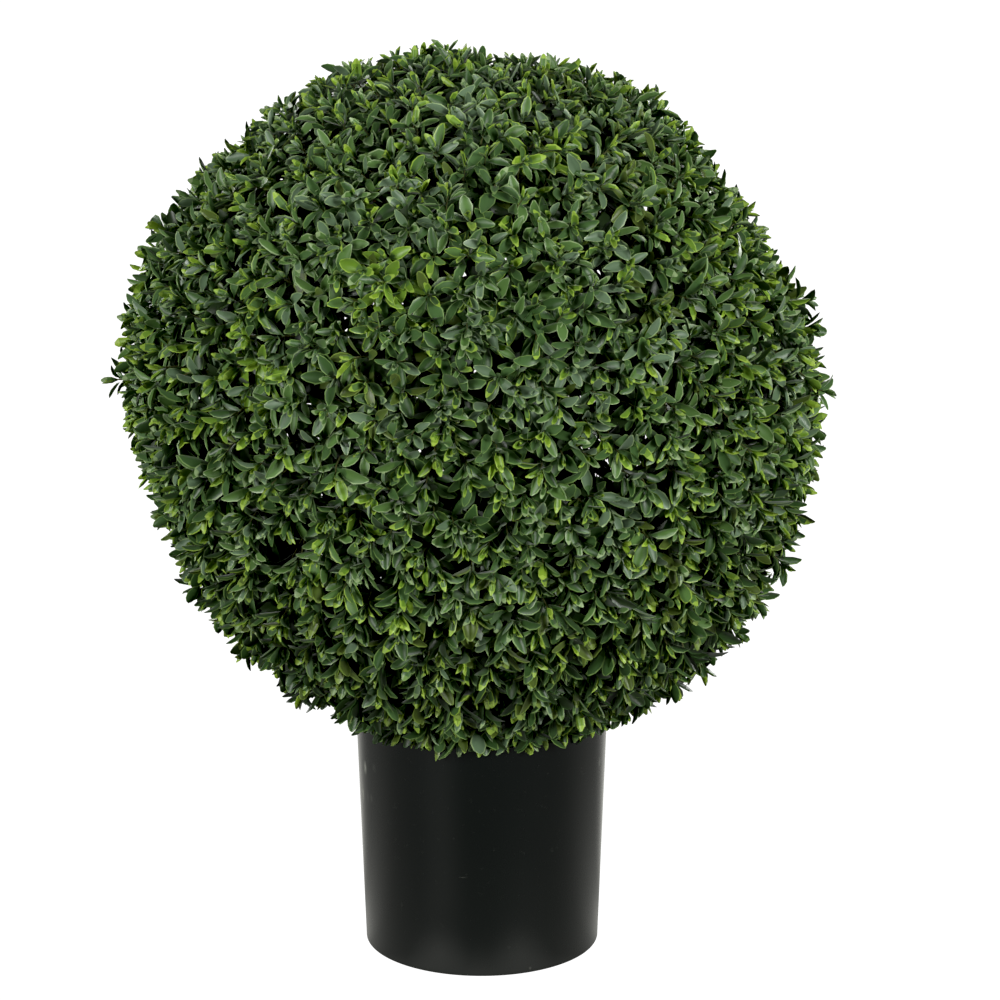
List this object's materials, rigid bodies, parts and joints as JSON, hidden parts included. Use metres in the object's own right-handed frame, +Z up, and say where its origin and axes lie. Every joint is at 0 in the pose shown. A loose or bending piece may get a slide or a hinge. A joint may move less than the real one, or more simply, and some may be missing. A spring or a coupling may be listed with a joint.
{
  "type": "artificial box topiary ball",
  "caption": "Artificial box topiary: a dense clipped ball of small green leaves resting on the rim of a plain black, slightly tapered round pot.",
  "frame": {"origin": "centre of the pot's flat underside", "axes": "+Z up along the pot's axis, front facing -Y, +X to the right seen from the front"},
  "size_m": [0.6042, 0.5935, 0.7669],
  "materials": {
    "black_plastic": "satin black moulded plastic",
    "cast_filling": "rough cast",
    "brown_post": "rough",
    "box_leaves": "soft satin leaves, mid to dark green with lime edges"
  },
  "bodies": {
    "root": {"pot": "black_plastic", "pot_filling": "cast_filling", "stem": "brown_post", "foliage_ball": "box_leaves"}
  },
  "joints": []
}
